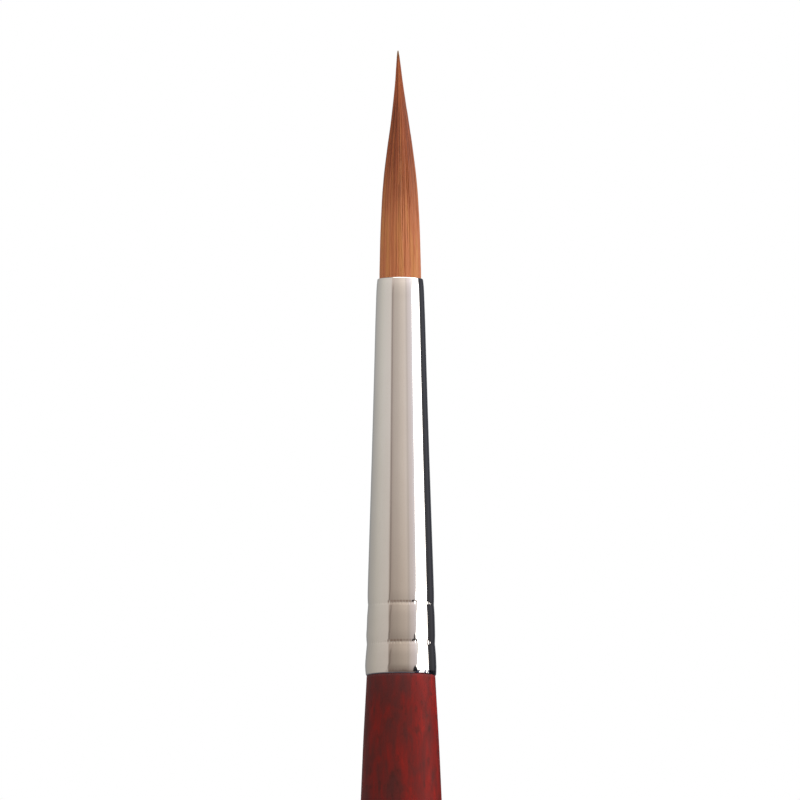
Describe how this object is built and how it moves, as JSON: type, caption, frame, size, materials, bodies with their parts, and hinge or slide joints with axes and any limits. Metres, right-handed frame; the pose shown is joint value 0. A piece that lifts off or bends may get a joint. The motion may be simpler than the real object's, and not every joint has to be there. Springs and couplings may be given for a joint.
{
  "type": "fine detail brush",
  "caption": "Round pointed detail brush: tapered lacquered wood handle, seamless crimped metal ferrule and a red-brown hair tuft that bends.",
  "frame": {"origin": "on the brush's axis at the middle of the grip, where the handle is thickest", "axes": "+Z along the brush's axis towards the hair's point; X and Y are equivalent, because every piece is turned about Z"},
  "size_m": [0.0058, 0.0058, 0.19],
  "materials": {
    "handle_lacquer": "satin",
    "ferrule_metal": "polished",
    "adhesive": "satin",
    "resin": "gloss",
    "thread": "matte",
    "hair": "satin"
  },
  "bodies": {
    "handle": {"handle": "handle_lacquer", "ferrule": "ferrule_metal", "handle_glue": "adhesive", "setting_resin": "resin", "binding_thread": "thread", "tuft_heel": "hair"},
    "tuft_lower_belly": {"tuft_lower_belly": "hair"},
    "tuft_upper_belly": {"tuft_upper_belly": "hair"},
    "tuft_shoulder": {"tuft_shoulder": "hair"},
    "tuft_taper": {"tuft_taper": "hair"},
    "tuft_neck": {"tuft_neck": "hair"},
    "tuft_point": {"tuft_point": "hair"}
  },
  "joints": [
    {"name": "tuft_side_bend", "type": "hinge", "parent": "handle", "child": "tuft_lower_belly", "pos_m": [0, 0, 0.0503], "axis": [0, 1, 0], "range_deg": [-15, 15], "stiffness_Nm_per_rad": 0.0016},
    {"name": "tuft_front_bend", "type": "hinge", "parent": "tuft_lower_belly", "child": "tuft_upper_belly", "pos_m": [0, 0, 0.0525], "axis": [1, 0, 0], "range_deg": [-15, 15], "stiffness_Nm_per_rad": 0.0012},
    {"name": "shoulder_side_bend", "type": "hinge", "parent": "tuft_upper_belly", "child": "tuft_shoulder", "pos_m": [0, 0, 0.0547], "axis": [0, 1, 0], "range_deg": [-20, 20], "stiffness_Nm_per_rad": 0.0007},
    {"name": "taper_front_bend", "type": "hinge", "parent": "tuft_shoulder", "child": "tuft_taper", "pos_m": [0, 0, 0.0569], "axis": [1, 0, 0], "range_deg": [-20, 20], "stiffness_Nm_per_rad": 0.0003},
    {"name": "neck_side_bend", "type": "hinge", "parent": "tuft_taper", "child": "tuft_neck", "pos_m": [0, 0, 0.0589], "axis": [0, 1, 0], "range_deg": [-25, 25], "stiffness_Nm_per_rad": 0.00008},
    {"name": "point_front_bend", "type": "hinge", "parent": "tuft_neck", "child": "tuft_point", "pos_m": [0, 0, 0.0607], "axis": [1, 0, 0], "range_deg": [-25, 25], "stiffness_Nm_per_rad": 0.000016}
  ]
}
